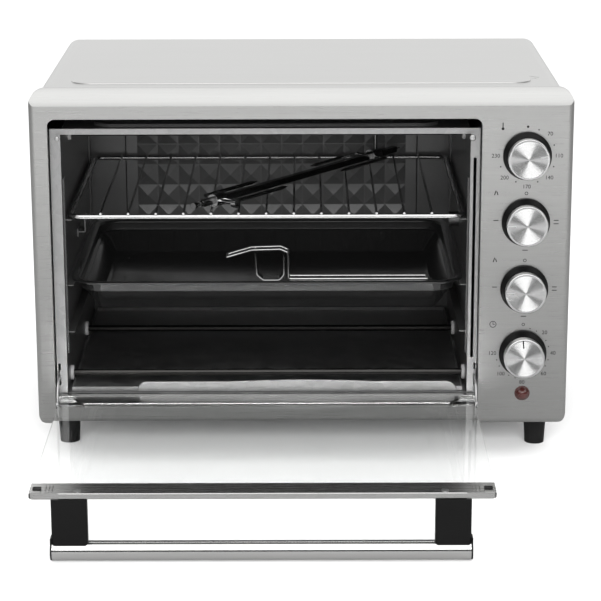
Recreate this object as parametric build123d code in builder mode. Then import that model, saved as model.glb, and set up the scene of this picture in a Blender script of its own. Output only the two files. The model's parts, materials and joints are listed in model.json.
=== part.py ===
from build123d import *
import os
from math import cos, radians, sin

os.makedirs("parts", exist_ok=True)

# A countertop toaster oven with a drop-down glass door, shown with the door open.
# Millimetres. X runs to the right seen from the front, Y runs from the door to the
# back, Z is up. The origin is on the table, under the middle of the whole oven's box.

# ---------------------------------------------------------------- driving sizes
front_width = 560.0          # pressed steel front
front_height = 359.0
body_depth = 348.0           # front face to the back edge of the cabinet
ground_gap = 38.5            # table to the lower edge of the front
sheet = 0.8                  # cabinet and cavity sheet
frame_sheet = 1.0            # door seat frame
lip_depth = 20.0             # how far the front wraps back
lip_rise = 16.5              # height of the sloped top lip
lip_flat = 4.0               # level strip behind the slope, over the cabinet
lip_swell = 1.8              # how far the lip bows out
cabinet_inset = 6.5          # the cabinet is this much narrower than the front, each side

opening_left = -261.0        # door opening in the front
opening_right = 186.0
opening_bottom = 17.0        # above the lower edge of the front
opening_height = 312.0
opening_radius = 8.0
opening_return = 7.0         # edge turned inwards round the opening

seat_depth = 12.0            # front face to the door seat
door_gap = 5.0               # glass to the opening, each side
glass = 4.0
hinge_depth = 6.0            # hinge axis behind the front face
hinge_height = 27.5          # hinge axis above the lower edge of the front
door_length = 298.0          # hinge axis to the free edge

cavity_left = -249.0         # inner faces of the oven chamber
cavity_right = 175.0
cavity_floor_height = 31.7
cavity_top_height = 312.0
cavity_back_depth = 334.5

rack_height = 221.0          # centre of the rack's rim wire
rack_wire = 5.0
rack_bar = 2.6
rack_bars = 13
tray_height = 150.0          # top of the baking tray's rim
tray_depth = 35.0
support_gap = 0.3            # between a sliding piece and what carries it
side_play = 3.0              # rack and tray to the chamber wall, each side

rod = 7.0                    # heating rods
lower_rod_height = 42.0
upper_rod_height = 297.0
lower_rod_depths = (52.0, 222.0)
upper_rod_depths = (95.0, 245.0)

knob_x = 232.5
knob_heights = (290.0, 220.0, 148.5, 78.0)
knob_skirt = 50.0
knob_cap = 42.5
knob_skirt_height = 10.0
knob_height = 21.0
shaft = 6.0
lamp_x = 233.0
lamp_height = 34.0
lamp = 16.0

handle_tube = 18.8
handle_drop = 55.4           # hinge axis down to the middle of the handle tube, door open
handle_setback = 4.5         # handle tube's middle behind the door's free edge
bracket_width = 34.0
handle_left = -235.5
handle_right = 159.0

foot_top = 26.0
foot_bottom = 21.0
foot_x = 253.0
foot_depths = (56.0, 306.0)

back_bump = 10.0             # stand-off pressed into the back cover
screw_shank = 4.0
screw_head = 8.0
screw_head_height = 2.4
fit = 0.05                   # radial clearance of a turning fit

# ---------------------------------------------------------------- worked out
open_reach = door_length - hinge_depth - handle_setback + handle_tube / 2
back_reach = body_depth + sheet + back_bump
front_y = (open_reach - back_reach) / 2
z0 = ground_gap

hinge_y = front_y + hinge_depth
hinge_z = z0 + hinge_height
door_left = opening_left + door_gap
door_right = opening_right - door_gap + 1
door_end = hinge_y - door_length
opening_top = opening_bottom + opening_height
cabinet_half = front_width / 2 - cabinet_inset
cabinet_top = z0 + front_height - 1.6
cavity_mid = (cavity_left + cavity_right) / 2
cavity_width = cavity_right - cavity_left
chamber_top = z0 + cavity_top_height
chamber_floor = z0 + cavity_floor_height
seat_y = front_y + seat_depth
chamber_y = seat_y + frame_sheet
back_wall_y = front_y + cavity_back_depth
slide_width = cavity_width - 2 * side_play


def upright(y, x=0.0, z=0.0):
    """A vertical work plane facing the front, at this y; a negative amount runs to the back."""
    return Plane(origin=(x, y, z), x_dir=(1, 0, 0), z_dir=(0, -1, 0))


def box(x_low, x_high, y_low, y_high, z_low, z_high, mode=Mode.ADD):
    """A plain block between two corners."""
    with Locations(((x_low + x_high) / 2, (y_low + y_high) / 2, (z_low + z_high) / 2)):
        Box(x_high - x_low, y_high - y_low, z_high - z_low, mode=mode)


def rod_x(x_low, x_high, y, z, radius, mode=Mode.ADD):
    """A round bar along X."""
    with Locations(Plane(origin=(x_low, y, z), x_dir=(0, 1, 0), z_dir=(1, 0, 0))):
        Cylinder(radius, x_high - x_low, align=(Align.CENTER, Align.CENTER, Align.MIN), mode=mode)


def rod_y(x, y_low, y_high, z, radius, mode=Mode.ADD):
    """A round bar along Y."""
    with Locations(Plane(origin=(x, y_low, z), x_dir=(1, 0, 0), z_dir=(0, 1, 0))):
        Cylinder(radius, y_high - y_low, align=(Align.CENTER, Align.CENTER, Align.MIN), mode=mode)


def rod_z(x, y, z_low, z_high, radius, mode=Mode.ADD):
    """A round bar along Z."""
    with Locations((x, y, z_low)):
        Cylinder(radius, z_high - z_low, align=(Align.CENTER, Align.CENTER, Align.MIN), mode=mode)


def arch(half, low, high, radius, mode=Mode.ADD):
    """An upright outline with rounded top corners, drawn in the current sketch."""
    with BuildLine() as outline:
        FilletPolyline((-half, low), (-half, high), (half, high), (half, low), radius=radius)
        Line((-half, low), (half, low))
    make_face(outline.edges(), mode=mode)


# ---------------------------------------------------------------- pressed front
def front_form(inset):
    """The front's outer shape, shrunk by inset on every side but the back."""
    half = front_width / 2 - inset
    low = z0 + inset
    high = z0 + front_height - inset
    near = front_y + inset
    far = front_y + lip_depth
    with BuildPart() as form:
        with BuildSketch(upright(near)):
            with Locations((0, (low + high) / 2)):
                Rectangle(2 * half, high - low)
            fillet(vertices().sort_by(Axis.Y)[-2:], 16 - inset)
            fillet(vertices().sort_by(Axis.Y)[:2], 12 - inset)
        extrude(amount=-(far - near))
        with BuildSketch(Plane.YZ):
            with BuildLine():
                turn = far - lip_flat
                out = lip_swell / ((turn - near) ** 2 + lip_rise**2) ** 0.5
                crown = (
                    (near + turn) / 2 - lip_rise * out, high - lip_rise / 2 + (turn - near) * out
                )
                lip = ThreePointArc((turn, high), crown, (near, high - lip_rise))
                heel = CenterArc((near + 6, low + 6), 6, 180, 90)
                Line(lip @ 1, heel @ 0)
                Polyline(heel @ 1, (far, low), (far, high), lip @ 0)
            make_face()
        extrude(amount=half + 1, both=True, mode=Mode.INTERSECT)
        with BuildSketch(Plane.XY.offset(low - 1)):
            with Locations((0, (near + far) / 2)):
                plan = Rectangle(2 * half, far - near)
            fillet(plan.vertices().sort_by(Axis.Y)[:2], 6)
        extrude(amount=high - low + 2, mode=Mode.INTERSECT)
    return form.part


opening_mid = (opening_left + opening_right) / 2
opening_width = opening_right - opening_left
opening_mid_z = z0 + opening_bottom + opening_height / 2
front_outer = front_form(0)
front_inner = front_form(sheet)


def opening_outline(grow):
    """The door opening's outline, round at the top and almost square at the bottom."""
    with Locations((opening_mid, opening_mid_z)):
        outline = Rectangle(opening_width + 2 * grow, opening_height + 2 * grow)
    fillet(outline.vertices().sort_by(Axis.Y)[-2:], opening_radius + grow)
    fillet(outline.vertices().sort_by(Axis.Y)[:2], 3 + grow)


with BuildPart() as front_bezel:
    add(front_outer)
    add(front_inner, mode=Mode.SUBTRACT)
    with BuildSketch(upright(front_y)):
        opening_outline(sheet)
    extrude(amount=-opening_return)
    with BuildSketch(upright(front_y)):
        opening_outline(0)
    extrude(amount=-opening_return, mode=Mode.SUBTRACT)
    for h in knob_heights:
        rod_y(knob_x, front_y - 1, front_y + 3, z0 + h, shaft / 2 + 2, mode=Mode.SUBTRACT)
    rod_y(lamp_x, front_y - 1, front_y + 3, z0 + lamp_height, lamp / 2 - 1.5, mode=Mode.SUBTRACT)
front_bezel.part.label = "front_bezel"
export_step(front_bezel.part, "parts/front_bezel.step")

# ---------------------------------------------------------------- cabinet
wrap_front = front_y + lip_depth - 3
wrap_back = front_y + body_depth
wrap_low = z0 + 2
wrap_radius = 14.0
emboss = 1.0
emboss_margin = 32.0
emboss_front = front_y + lip_depth + 26
emboss_back = wrap_back - 26
louvre = (34.0, 3.0)
louvre_pitch = 10.0

with BuildPart() as cabinet_wrap:
    with BuildSketch(upright(wrap_front)):
        arch(cabinet_half, wrap_low, cabinet_top, wrap_radius)
        arch(cabinet_half - sheet, wrap_low, cabinet_top - sheet, wrap_radius - sheet, mode=Mode.SUBTRACT)
    extrude(amount=-(wrap_back - wrap_front))
    panel = (2 * (cabinet_half - emboss_margin), emboss_back - emboss_front)
    with BuildSketch(Plane.XY.offset(cabinet_top - sheet)):
        with Locations((0, (emboss_front + emboss_back) / 2)):
            RectangleRounded(*panel, 20)
    extrude(amount=sheet + emboss, taper=20)
    with BuildSketch(Plane.XY.offset(cabinet_top - sheet)):
        with Locations((0, (emboss_front + emboss_back) / 2)):
            RectangleRounded(panel[0] - 2 * sheet, panel[1] - 2 * sheet, 20 - sheet)
    extrude(amount=emboss, taper=20, mode=Mode.SUBTRACT)
    with BuildSketch(Plane.YZ.offset(cabinet_half - 2)):
        with Locations((front_y + 0.62 * body_depth, z0 + 0.62 * front_height)):
            with GridLocations(louvre[0] + 14, louvre_pitch, 3, 9):
                SlotOverall(*louvre)
    extrude(amount=4, mode=Mode.SUBTRACT)
cabinet_wrap.part.label = "cabinet_wrap"
export_step(cabinet_wrap.part, "parts/cabinet_wrap.step")

# The back cover closes the wrap, with a stand-off pressed into its middle.
cover_half = cabinet_half - 0.5
cover_low = z0 + 6
cover_high = cabinet_top - 0.5
bump = (330.0, 190.0)
bump_z = z0 + 180
vent_x = 228.0
inlet_x = 214.0
inlet_z = z0 + 44
inlet_radius = 6.0
cover_screw_places = [
    (side * (cover_half - 10), z) for side in (-1, 1) for z in (cover_low + 12, bump_z, cover_high - 14)
] + [(0, cover_high - 10), (0, cover_low + 10)]

with BuildPart() as rear_cover:
    with BuildSketch(upright(wrap_back)):
        arch(cover_half, cover_low, cover_high, wrap_radius)
    extrude(amount=-sheet)
    with BuildSketch(upright(wrap_back + sheet)):
        with Locations((0, bump_z)):
            RectangleRounded(*bump, 18)
    extrude(amount=-back_bump, taper=25)
    with BuildSketch(upright(wrap_back)):
        with Locations((0, bump_z)):
            RectangleRounded(bump[0] - 2 * sheet, bump[1] - 2 * sheet, 18 - sheet)
    extrude(amount=-back_bump, taper=25, mode=Mode.SUBTRACT)
    with BuildSketch(upright(wrap_back)):
        for x in (-vent_x, vent_x):
            with Locations((x, z0 + 230)):
                with GridLocations(1, louvre_pitch, 1, 12):
                    SlotOverall(*louvre)
        with Locations((inlet_x, inlet_z)):
            Circle(inlet_radius)
        for place in cover_screw_places:
            with Locations(place):
                Circle(screw_shank / 2)
    extrude(amount=-sheet, mode=Mode.SUBTRACT)
rear_cover.part.label = "rear_cover"
export_step(rear_cover.part, "parts/rear_cover.step")

# ---------------------------------------------------------------- base and feet
base_z = z0 + 3
base_half = cabinet_half - sheet - 0.3
base_front = front_y + lip_depth + 2
base_back = wrap_back - 1.5
flange = 9.0
foot_places = [(side * foot_x, front_y + y) for side in (-1, 1) for y in foot_depths]
foot_height = base_z

with BuildPart() as base_pan:
    box(-base_half, base_half, base_front, base_back, base_z, base_z + sheet)
    for side in (-1, 1):
        wall = sorted((side * base_half, side * (base_half - sheet)))
        box(wall[0], wall[1], base_front, base_back, base_z, base_z + flange)
    box(-base_half, base_half, base_back - sheet, base_back, base_z, base_z + flange)
    with BuildSketch(Plane.XY.offset(base_z)):
        with Locations((cavity_mid, front_y + 0.5 * body_depth)):
            with GridLocations(60, 16, 6, 9):
                SlotOverall(40, 4)
        with Locations((knob_x - 6, front_y + 0.5 * body_depth)):
            with GridLocations(1, 14, 1, 9):
                SlotOverall(34, 4)
        with Locations(*foot_places):
            Circle(screw_shank / 2)
    extrude(amount=sheet, mode=Mode.SUBTRACT)
base_pan.part.label = "base_pan"
export_step(base_pan.part, "parts/base_pan.step")

foot_screw_seat = 9.0
with BuildPart() as feet:
    for x, y in foot_places:
        with Locations((x, y, 0)):
            Cone(foot_bottom / 2, foot_top / 2, foot_height, align=(Align.CENTER, Align.CENTER, Align.MIN))
        rod_z(x, y, 0, foot_height - foot_screw_seat, screw_head / 2 + 1, mode=Mode.SUBTRACT)
        rod_z(x, y, 0, foot_height, screw_shank / 2, mode=Mode.SUBTRACT)
feet.part.label = "feet"
export_step(feet.part, "parts/feet.step")


def screw(plane, length):
    """A cross-head screw whose head sits on this plane and whose shank runs back through it."""
    with Locations(plane):
        Cylinder(screw_head / 2, screw_head_height, align=(Align.CENTER, Align.CENTER, Align.MIN))
        Cylinder(screw_shank / 2, length, align=(Align.CENTER, Align.CENTER, Align.MAX))
    with Locations(plane.offset(screw_head_height)):
        Box(screw_head * 0.6, 1.1, 2.2, mode=Mode.SUBTRACT)
        Box(1.1, screw_head * 0.6, 2.2, mode=Mode.SUBTRACT)


with BuildPart() as case_screws:
    for x, y in foot_places:
        under = Plane(origin=(x, y, foot_height - foot_screw_seat), z_dir=(0, 0, -1))
        screw(under, foot_screw_seat + 6)
    for x, z in cover_screw_places:
        behind = Plane(origin=(x, wrap_back + sheet, z), z_dir=(0, 1, 0))
        screw(behind, 1.2)
case_screws.part.label = "case_screws"
export_step(case_screws.part, "parts/case_screws.step")

# ---------------------------------------------------------------- oven chamber
wall_low = z0 + 20
bush = 12.0
spit_depth = 172.0           # where the spit turns when it is in use
spit_height = 183.0
spit_y = front_y + spit_depth
spit_z = z0 + spit_height
drive_radius = 8.0
rod_places = [(front_y + y, z0 + lower_rod_height) for y in lower_rod_depths]
rod_places += [(front_y + y, z0 + upper_rod_height) for y in upper_rod_depths]
wall_back = back_wall_y + 3.0

with BuildPart() as cavity_left_wall:
    box(cavity_left - sheet, cavity_left, chamber_y, wall_back, wall_low, chamber_top + sheet)
    for y, z in rod_places:
        rod_x(cavity_left - 2, cavity_left + 1, y, z, bush / 2, mode=Mode.SUBTRACT)
cavity_left_wall.part.label = "cavity_left_wall"
export_step(cavity_left_wall.part, "parts/cavity_left_wall.step")

with BuildPart() as cavity_right_wall:
    box(cavity_right, cavity_right + sheet, chamber_y, wall_back, wall_low, chamber_top + sheet)
    for y, z in rod_places:
        rod_x(cavity_right - 1, cavity_right + 2, y, z, bush / 2, mode=Mode.SUBTRACT)
    rod_x(cavity_right - 1, cavity_right + 2, spit_y, spit_z, drive_radius + 1, mode=Mode.SUBTRACT)
cavity_right_wall.part.label = "cavity_right_wall"
export_step(cavity_right_wall.part, "parts/cavity_right_wall.step")

with BuildPart() as cavity_top:
    box(cavity_left, cavity_right, chamber_y, wall_back, chamber_top, chamber_top + sheet)
    with BuildSketch(Plane.XY.offset(chamber_top)):
        with Locations((cavity_mid, (chamber_y + wall_back) / 2)):
            RectangleRounded(cavity_width - 60, wall_back - chamber_y - 60, 20)
    extrude(amount=sheet + 3, taper=20)
    with BuildSketch(Plane.XY.offset(chamber_top)):
        with Locations((cavity_mid, (chamber_y + wall_back) / 2)):
            RectangleRounded(cavity_width - 60 - 2 * sheet, wall_back - chamber_y - 60 - 2 * sheet, 19)
    extrude(amount=3, taper=20, mode=Mode.SUBTRACT)
cavity_top.part.label = "cavity_top"
export_step(cavity_top.part, "parts/cavity_top.step")

with BuildPart() as cavity_floor:
    box(cavity_left, cavity_right, chamber_y, wall_back, chamber_floor - sheet, chamber_floor)
    for y in (front_y + 90, front_y + 180, front_y + 270):
        box(cavity_left + 40, cavity_right - 40, y - 3, y + 3, chamber_floor - 2.5, chamber_floor - sheet)
cavity_floor.part.label = "cavity_floor"
export_step(cavity_floor.part, "parts/cavity_floor.step")

# The back wall is pressed with square pyramids that spread the heat.
pyramid = 24.4
pyramid_height = 4.0
pyramid_columns = 13
pyramid_rows = 9
pyramid_top_height = 272.3
panel_rise = 3.0
field_mid = (cavity_mid + 1.5, z0 + pyramid_top_height - (pyramid_rows - 1) * pyramid / 2)
field = (pyramid_columns * pyramid + 2 * 14, pyramid_rows * pyramid + 2 * 6)
tip = pyramid / 2 - 0.6


def pyramids(base, mode):
    """The grid of pyramids standing out towards the door from the panel."""
    with Locations(upright(base, *field_mid)):
        with GridLocations(pyramid, pyramid, pyramid_columns, pyramid_rows):
            Wedge(
                pyramid - 0.6, pyramid_height, pyramid - 0.6, tip, tip, pyramid - 0.6 - tip,
                pyramid - 0.6 - tip, rotation=(90, 0, 0), mode=mode,
            )


with BuildPart() as cavity_rear_wall:
    box(cavity_left, cavity_right, wall_back - frame_sheet, wall_back, chamber_floor, chamber_top)
    with BuildSketch(upright(wall_back - frame_sheet)):
        with Locations(field_mid):
            RectangleRounded(*field, 8)
    extrude(amount=panel_rise, taper=30)
    with BuildSketch(upright(wall_back)):
        with Locations(field_mid):
            RectangleRounded(field[0] - 2, field[1] - 2, 7)
    extrude(amount=panel_rise, taper=30, mode=Mode.SUBTRACT)
    pyramids(wall_back - frame_sheet - panel_rise - pyramid_height / 2, Mode.ADD)
    pyramids(wall_back - frame_sheet - panel_rise + 1 - pyramid_height / 2, Mode.SUBTRACT)
cavity_rear_wall.part.label = "cavity_rear_wall"
export_step(cavity_rear_wall.part, "parts/cavity_rear_wall.step")

# The door seat is a flat frame just inside the opening, with the hinge ears bent forward.
seat_left = opening_left + 1.0
seat_right = opening_right - 1.0
seat_low = z0 + opening_bottom + 1.0
seat_high = z0 + opening_top - 12.0
seat_inner_low = z0 + 31.5
seat_inner_high = chamber_top - 1.0
seat_return = 8.0
pin = 5.0
stay_radius = 22.0
stay_width = 6.0
stay_sheet = 1.5
stay_left_x = door_left - 0.4 - stay_sheet
stay_right_x = door_right + 0.4
stay_slot = (z0 + 40, z0 + 64)

with BuildPart() as door_seat_frame:
    box(seat_left, seat_right, seat_y, chamber_y, seat_low, seat_high)
    for x in (seat_left, seat_right - frame_sheet):
        box(x, x + frame_sheet, chamber_y, chamber_y + seat_return, seat_low, seat_high)
        box(x, x + frame_sheet, front_y + 1, seat_y, seat_low, hinge_z + 7)
    box(cavity_left, cavity_right, seat_y, chamber_y, seat_inner_low, seat_inner_high, mode=Mode.SUBTRACT)
    for x in (seat_left, seat_right - frame_sheet):
        rod_x(x - 1, x + frame_sheet + 1, hinge_y, hinge_z, pin / 2 + fit, mode=Mode.SUBTRACT)
    for x in (stay_left_x, stay_right_x):
        box(x - 0.5, x + stay_sheet + 0.5, seat_y - 1, chamber_y + 1, *stay_slot, mode=Mode.SUBTRACT)
    with BuildSketch(upright(seat_y)):
        with Locations((seat_right - 5.2, z0 + 178)):
            SlotOverall(216, 3.2, rotation=90)
    extrude(amount=-frame_sheet, mode=Mode.SUBTRACT)
door_seat_frame.part.label = "door_seat_frame"
export_step(door_seat_frame.part, "parts/door_seat_frame.step")

# ---------------------------------------------------------------- rack guides
guide_front = front_y + 24.0
guide_back = back_wall_y - 12.0
rail_reach = side_play + 5.0
rail_sheet = 1.0
strip = 12.0
tray_lip = 2.5               # rim edge turned down
rack_rail = z0 + rack_height - rack_wire / 2 - support_gap
tray_rail = z0 + tray_height - tray_lip - support_gap
low_rail = z0 + 96.0
strip_low = z0 + 72.0
strip_high = z0 + 262.0


def guide(wall_x, side):
    """Two upright strips on a side wall and the three rails they carry."""
    def across(a, b):
        return sorted((wall_x + side * a, wall_x + side * b))
    for y in (guide_front, guide_back - strip):
        box(*across(0, 1.5), y, y + strip, strip_low, strip_high)
    for top in (rack_rail, tray_rail, low_rail):
        box(*across(0, rail_reach), guide_front, guide_back, top - rail_sheet, top)
        box(*across(0, 1.0), guide_front, guide_back, top - 9, top)


with BuildPart() as rack_guide_left:
    guide(cavity_left, 1)
rack_guide_left.part.label = "rack_guide_left"
export_step(rack_guide_left.part, "parts/rack_guide_left.step")

with BuildPart() as rack_guide_right:
    guide(cavity_right, -1)
rack_guide_right.part.label = "rack_guide_right"
export_step(rack_guide_right.part, "parts/rack_guide_right.step")

# ---------------------------------------------------------------- heating rods
rod_overhang = 13.0
rod_left = cavity_left - rod_overhang
rod_right = cavity_right + rod_overhang - 2


def heating_rods(depths, height):
    """Straight sheathed rods that run through both side walls, with a terminal pin each end."""
    for y in depths:
        rod_x(rod_left + 4, rod_right - 4, front_y + y, z0 + height, rod / 2)
        rod_x(rod_left, rod_right, front_y + y, z0 + height, 1.5)


with BuildPart() as lower_heating_rods:
    heating_rods(lower_rod_depths, lower_rod_height)
lower_heating_rods.part.label = "lower_heating_rods"
export_step(lower_heating_rods.part, "parts/lower_heating_rods.step")

with BuildPart() as upper_heating_rods:
    heating_rods(upper_rod_depths, upper_rod_height)
upper_heating_rods.part.label = "upper_heating_rods"
export_step(upper_heating_rods.part, "parts/upper_heating_rods.step")

with BuildPart() as heater_insulators:
    for y, z in rod_places:
        for wall_x, side in ((cavity_left, 1), (cavity_right, -1)):
            inner = sorted((wall_x + side * 3, wall_x - side * 5))
            rod_x(*inner, y, z, bush / 2)
            head = sorted((wall_x, wall_x + side * 3))
            rod_x(*head, y, z, bush / 2 + 2)
            rod_x(*inner, y, z, rod / 2, mode=Mode.SUBTRACT)
heater_insulators.part.label = "heater_insulators"
export_step(heater_insulators.part, "parts/heater_insulators.step")

# ---------------------------------------------------------------- crumb tray
crumb_low = chamber_floor + support_gap
crumb_wall = 4.5
crumb_left = cavity_left + 4
crumb_right = cavity_right - 4
crumb_front = front_y + 17.5
crumb_back = back_wall_y - 4
lip_left = cavity_left + 74
lip_right = cavity_right - 10
lip_high = z0 + 42.5
pull = (cavity_mid - 41, cavity_mid + 113)
pull_high = z0 + 44.5
lip_sheet = 2.0
lip_edge = 0.8

with BuildPart() as crumb_lip:
    with BuildSketch(upright(crumb_front)):
        with BuildLine():
            Line((lip_left + 9, lip_high), (pull[0], lip_high))
            ThreePointArc((pull[0], lip_high), (sum(pull) / 2, pull_high), (pull[1], lip_high))
            Line((pull[1], lip_high), (lip_right - 15, lip_high))
            ThreePointArc((lip_right - 15, lip_high), (lip_right - 4, lip_high - 3), (lip_right, crumb_low))
            Line((lip_right, crumb_low), (lip_left, crumb_low))
            ThreePointArc((lip_left, crumb_low), (lip_left + 2.5, lip_high - 2.8), (lip_left + 9, lip_high))
        make_face()
    extrude(amount=lip_sheet)
    fillet(crumb_lip.faces().sort_by(Axis.Y)[0].edges().sort_by(Axis.Z)[1:], lip_edge)

with BuildPart() as crumb_tray:
    box(crumb_left, crumb_right, crumb_front, crumb_back, crumb_low, crumb_low + crumb_wall)
    box(
        crumb_left + sheet, crumb_right - sheet, crumb_front + sheet, crumb_back - sheet,
        crumb_low + sheet, crumb_low + crumb_wall, mode=Mode.SUBTRACT,
    )
    add(crumb_lip.part)
crumb_tray.part.label = "crumb_tray"
export_step(crumb_tray.part, "parts/crumb_tray.step")

# ---------------------------------------------------------------- wire rack
rack_z = z0 + rack_height
rack_half = slide_width / 2
rack_front = front_y + 22.0
rack_back = back_wall_y - pyramid_height - 3.0
rack_corner = 14.0
bar_z = rack_z + (rack_wire + rack_bar) / 2 - 0.4
bar_pitch = 28.9


def rim(x_low, x_high, y_low, y_high, z, radius, wire):
    """A closed wire rim with round corners."""
    x_mid = (x_low + x_high) / 2
    with BuildSketch(Plane.XY.offset(z)) as ring:
        with Locations((x_mid, (y_low + y_high) / 2)):
            RectangleRounded(x_high - x_low - wire, y_high - y_low - wire, radius - wire / 2)
    with BuildSketch(Plane(origin=(x_mid, y_low + wire / 2, z), x_dir=(0, 1, 0), z_dir=(1, 0, 0))) as section:
        Circle(wire / 2)
    sweep(section.sketch, path=ring.wires()[0])


with BuildPart() as wire_rack:
    rim(
        cavity_mid - rack_half, cavity_mid + rack_half, rack_front, rack_back, rack_z, rack_corner, rack_wire
    )
    for i in range(rack_bars):
        x = cavity_mid + (i - (rack_bars - 1) / 2) * bar_pitch
        rod_y(x, rack_front, rack_back, bar_z, rack_bar / 2)
wire_rack.part.label = "wire_rack"
export_step(wire_rack.part, "parts/wire_rack.step")

# ---------------------------------------------------------------- baking tray
rim_z = z0 + tray_height
tray_front = front_y + 22.0
tray_back = back_wall_y - pyramid_height - 12.0
tray_corner = 24.0
tray_rim = 9.0
tray_slope = 17.0
tray_mid = (cavity_mid, (tray_front + tray_back) / 2)
tray_top = (slide_width - 2 * tray_rim, tray_back - tray_front - 2 * tray_rim)
tray_bottom = (tray_top[0] - 2 * tray_slope, tray_top[1] - 2 * tray_slope)


def tray_form(grow, low, high):
    """The tray's tapering body, grown by this much on each side."""
    with BuildSketch(Plane.XY.offset(low)) as floor_outline:
        with Locations(tray_mid):
            RectangleRounded(tray_bottom[0] + 2 * grow, tray_bottom[1] + 2 * grow, tray_corner)
    with BuildSketch(Plane.XY.offset(high)) as rim_outline:
        with Locations(tray_mid):
            RectangleRounded(tray_top[0] + 2 * grow, tray_top[1] + 2 * grow, tray_corner)
    return floor_outline.sketch, rim_outline.sketch


with BuildPart() as baking_tray:
    loft(tray_form(sheet, rim_z - tray_depth, rim_z))
    with BuildSketch(Plane.XY.offset(rim_z - tray_lip)):
        with Locations(tray_mid):
            RectangleRounded(slide_width, tray_back - tray_front, tray_corner + tray_rim)
            RectangleRounded(
                slide_width - 2 * sheet, tray_back - tray_front - 2 * sheet, tray_corner + tray_rim - sheet,
                mode=Mode.SUBTRACT,
            )
    extrude(amount=tray_lip)
    with BuildSketch(Plane.XY.offset(rim_z - sheet)):
        with Locations(tray_mid):
            RectangleRounded(slide_width, tray_back - tray_front, tray_corner + tray_rim)
    extrude(amount=sheet)
    loft(tray_form(0, rim_z - tray_depth + sheet, rim_z + 0.01), mode=Mode.SUBTRACT)
baking_tray.part.label = "baking_tray"
export_step(baking_tray.part, "parts/baking_tray.step")

# ---------------------------------------------------------------- rotisserie spit and forks
spit_side = 6.5
spit_length = 374.0
spit_turn = 52.9             # how the spit lies across the rack, in degrees from X
hub = 14.0
hub_length = 16.0
hub_gap = 0.3
prong = 4.0
prong_length = 78.0
prong_spread = 21.0
fork_places = (32.0, 318.0)  # hubs along the spit from its left end
thumb = 4.0
thumb_head = 10.0
thumb_length = 20.0
rack_top = bar_z + rack_bar / 2
lying_z = rack_top + support_gap + hub / 2
spit_start = (-113.0, front_y + 21.5)
along = (cos(radians(spit_turn)), sin(radians(spit_turn)))


def on_spit(s):
    """The point on the lying spit's axis at this distance from its left end."""
    return (spit_start[0] + along[0] * s, spit_start[1] + along[1] * s, lying_z)


def spit_frame(s):
    """A plane across the spit at s: its normal runs along the spit, its x is level."""
    return Plane(origin=on_spit(s), x_dir=(along[1], -along[0], 0), z_dir=(along[0], along[1], 0))


with BuildPart() as spit_rod:
    with BuildSketch(spit_frame(14)):
        Rectangle(spit_side, spit_side)
    extrude(amount=spit_length - 24)
    with BuildSketch(spit_frame(spit_length - 10)) as square_end:
        Rectangle(spit_side, spit_side)
    with BuildSketch(spit_frame(spit_length)) as point_end:
        Rectangle(1, 1)
    loft([square_end.sketch, point_end.sketch])
    for start, length, radius in ((0, 4, 3.2), (4, 6, 2.2), (10, 4, 3.2)):
        with BuildSketch(spit_frame(start)):
            Circle(radius)
        extrude(amount=length)
spit_rod.part.label = "spit_rod"
export_step(spit_rod.part, "parts/spit_rod.step")


def round_bar(start, end, radius, mode=Mode.ADD):
    """A round bar between two points."""
    run = Vector(*end) - Vector(*start)
    with Locations(Plane(origin=start, z_dir=run)):
        Cylinder(radius, run.length, align=(Align.CENTER, Align.CENTER, Align.MIN), mode=mode)


def fork(s, way, screw_up):
    """A hub with two arms and prongs that run along the spit, way +1 or -1."""
    round_bar(on_spit(s), on_spit(s + hub_length), hub / 2)
    with Locations(spit_frame(s + hub_length / 2)):
        hole = spit_side + 2 * hub_gap
        Box(hole, hole, hub_length + 2, mode=Mode.SUBTRACT)
    with Locations(thumb_plane(s, way, screw_up)):
        Cylinder(thumb / 2 + fit, hub, align=(Align.CENTER, Align.CENTER, Align.MIN), mode=Mode.SUBTRACT)
    arm = spit_frame(s + (hub_length - prong / 2 if way > 0 else prong / 2))
    for side in (-1, 1):
        foot = arm.origin + arm.x_dir * (side * prong_spread)
        shoulder = foot + arm.z_dir * (way * prong_length)
        round_bar(arm.origin + arm.x_dir * (side * (hub / 2 - 2)), foot, prong / 2)
        round_bar(foot, shoulder, prong / 2)
        with Locations(foot):
            Sphere(prong / 2)
        with Locations(Plane(origin=shoulder, z_dir=arm.z_dir * way)):
            Cone(prong / 2, 0.4, 10, align=(Align.CENTER, Align.CENTER, Align.MIN))


def thumb_plane(s, way, screw_up):
    """Where a thumb screw enters its hub: the plane's normal runs out along the screw."""
    middle = spit_frame(s + hub_length / 2 - way * 3)
    out = Vector(0, 0, 1) if screw_up else middle.x_dir
    return Plane(origin=middle.origin, x_dir=middle.z_dir, z_dir=out)


def thumb_screw(s, way, screw_up):
    """A threaded shank with a ribbed round head."""
    seat = thumb_plane(s, way, screw_up)
    with Locations(seat.offset(spit_side / 2 + hub_gap)):
        Cylinder(thumb / 2, thumb_length, align=(Align.CENTER, Align.CENTER, Align.MIN))
    with Locations(seat.offset(spit_side / 2 + hub_gap + thumb_length)):
        Cylinder(thumb_head / 2, 6, align=(Align.CENTER, Align.CENTER, Align.MIN))
        with PolarLocations(thumb_head / 2, 12):
            Box(1.0, 1.0, 6, mode=Mode.SUBTRACT, align=(Align.CENTER, Align.CENTER, Align.MIN))


for side_name, place, way, screw_up in (
    ("left", fork_places[0], 1, False), ("right", fork_places[1], -1, True)
):
    with BuildPart() as spit_fork:
        fork(place, way, screw_up)
    spit_fork.part.label = f"spit_fork_{side_name}"
    export_step(spit_fork.part, f"parts/spit_fork_{side_name}.step")
    with BuildPart() as fork_screw:
        thumb_screw(place, way, screw_up)
    fork_screw.part.label = f"fork_screw_{side_name}"
    export_step(fork_screw.part, f"parts/fork_screw_{side_name}.step")

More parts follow.
